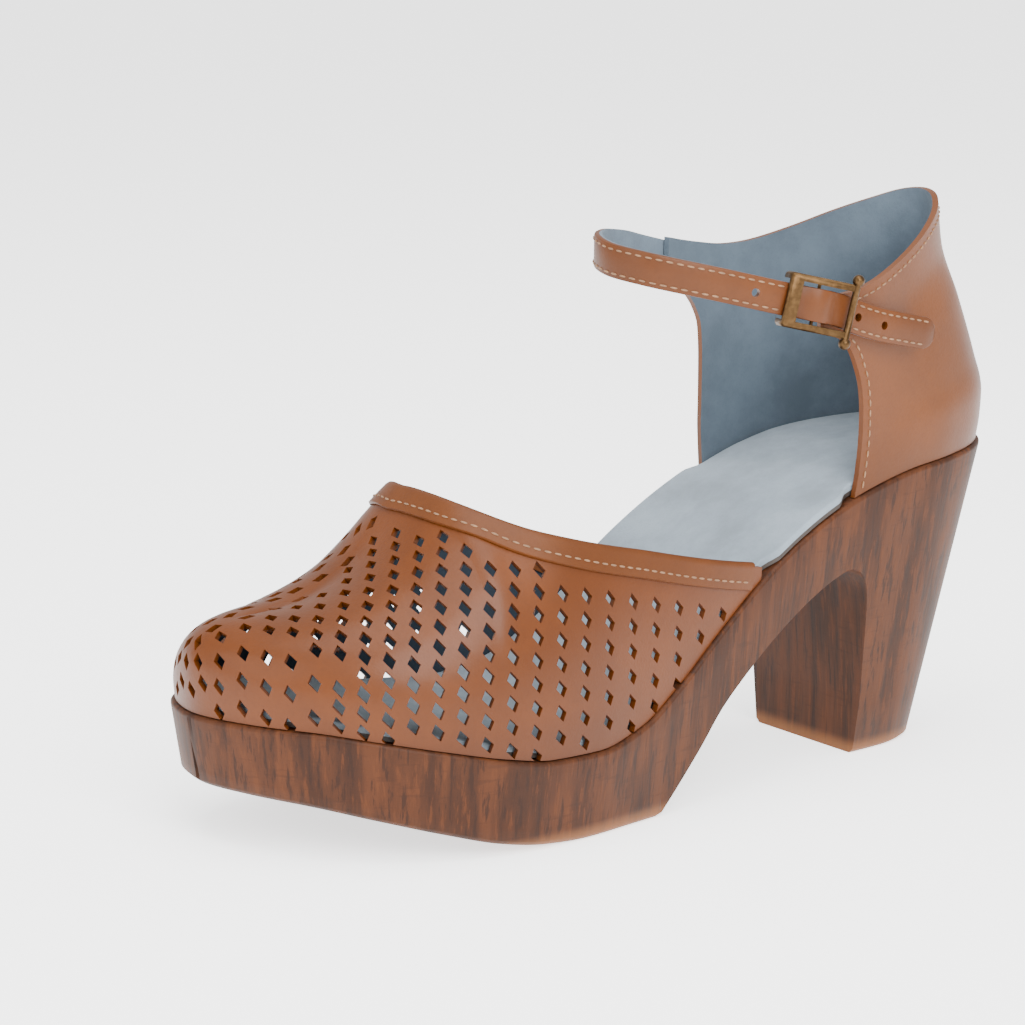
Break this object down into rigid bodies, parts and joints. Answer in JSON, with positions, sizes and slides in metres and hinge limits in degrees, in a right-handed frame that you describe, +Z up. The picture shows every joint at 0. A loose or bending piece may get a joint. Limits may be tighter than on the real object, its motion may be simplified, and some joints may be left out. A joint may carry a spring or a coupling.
{
  "type": "clog",
  "caption": "Heeled left clog with a carved wooden sole, a perforated leather vamp, a closed heel counter and a buckled ankle strap.",
  "frame": {"origin": "middle of the shoe's box, on the plane that it stands on", "axes": "+X from heel to toe, +Y towards the outer side of the foot, +Z up"},
  "size_m": [0.2418, 0.0862, 0.1492],
  "materials": {
    "wood": "brown stained wood, satin, fine streaks",
    "insole_leather": "light blue-grey leather, matt",
    "vamp_leather": "tan calf, smooth and glossy, perforated",
    "strip_leather": "tan calf, smooth",
    "counter_leather": "tan calf, smooth, darker at its edges",
    "strap_leather": "tan calf, smooth",
    "lining": "blue-grey suede",
    "thread": "cream sewing thread",
    "brass": "aged brass, satin"
  },
  "bodies": {
    "root": {"wood_sole": "wood", "insole": "insole_leather", "vamp": "vamp_leather", "vamp_binding": "strip_leather", "heel_counter": "counter_leather", "ankle_strap": "strap_leather", "buckle_frame": "brass", "buckle_tab": "strap_leather"}
  },
  "joints": []
}
